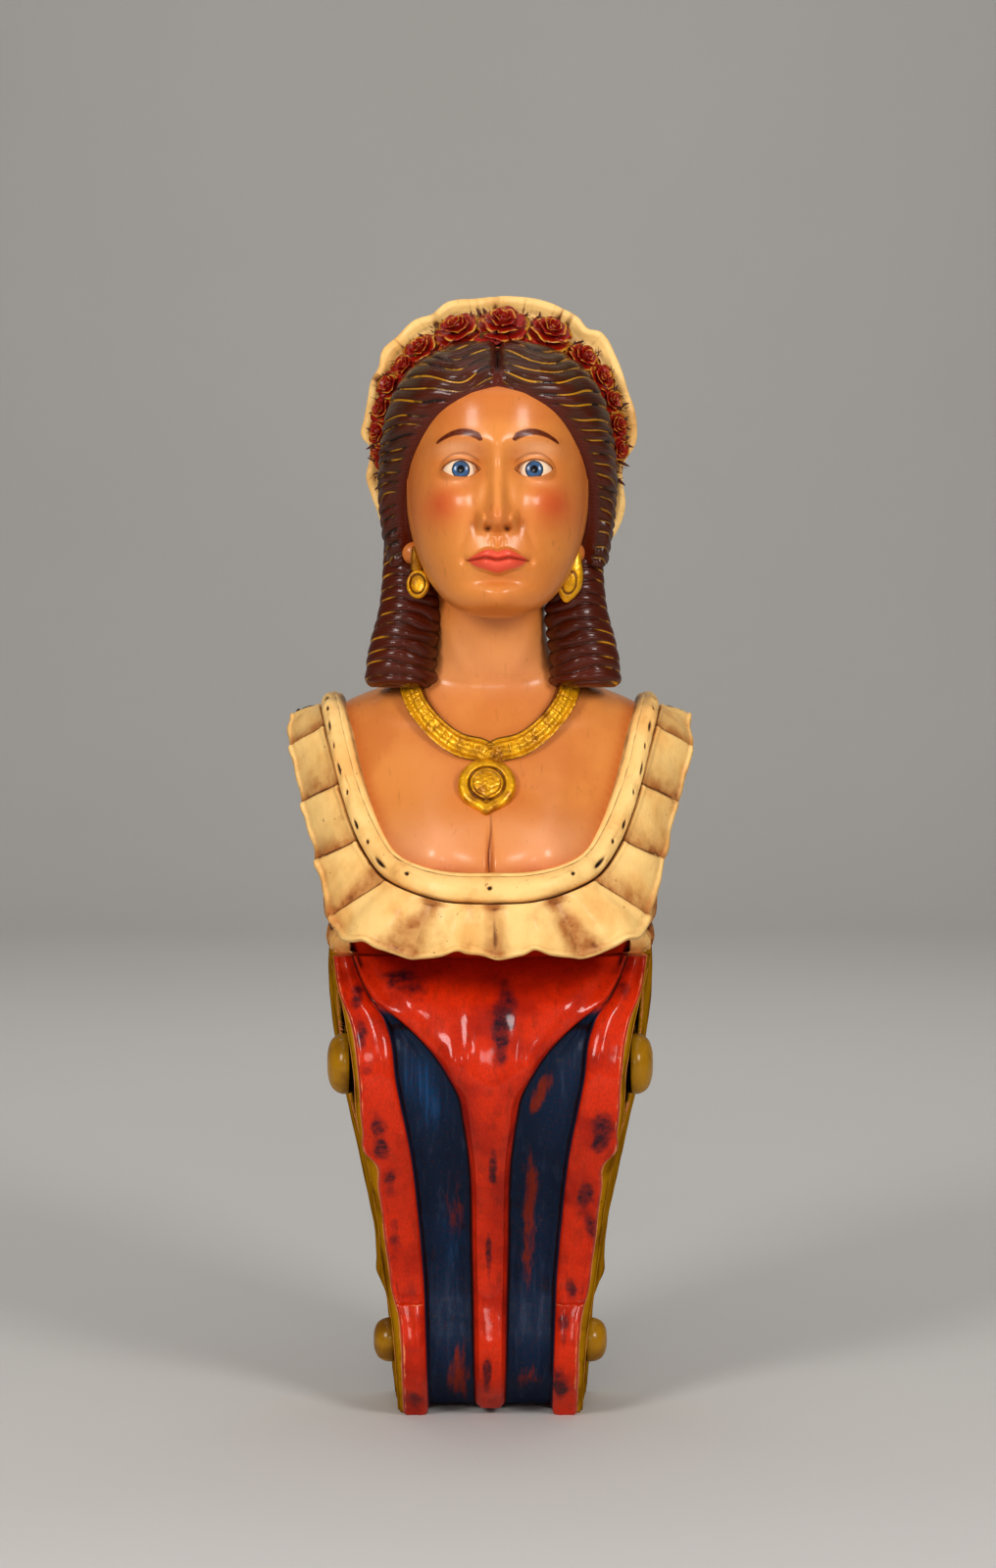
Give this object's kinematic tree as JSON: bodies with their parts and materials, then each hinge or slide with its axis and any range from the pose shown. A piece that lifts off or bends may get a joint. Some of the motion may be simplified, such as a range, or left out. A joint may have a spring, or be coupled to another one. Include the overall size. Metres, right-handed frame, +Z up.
{
  "type": "ship figurehead",
  "caption": "Painted figurehead: a lady's bust with a garlanded cap, frilled neckline and necklace, growing out of a scrolled console, flat at the back.",
  "frame": {"origin": "on the flat back, in the middle, 0.400 m above the foot", "axes": "+Z up along the figure, +Y out of the flat back, so the figure looks along -Y; +X is at the right hand of someone who faces it"},
  "size_m": [0.2782, 0.2014, 0.7571],
  "materials": {
    "painted_wood": "varnished paint",
    "skin_paint": "varnished paint",
    "hair_paint": "varnished paint",
    "garland_paint": "varnished paint",
    "cream_paint": "varnished paint",
    "gilt_paint": "varnished paint",
    "red_and_navy_paint": "varnished paint",
    "ochre_paint": "varnished paint"
  },
  "bodies": {
    "root": {"figurehead": "painted_wood"}
  },
  "joints": []
}
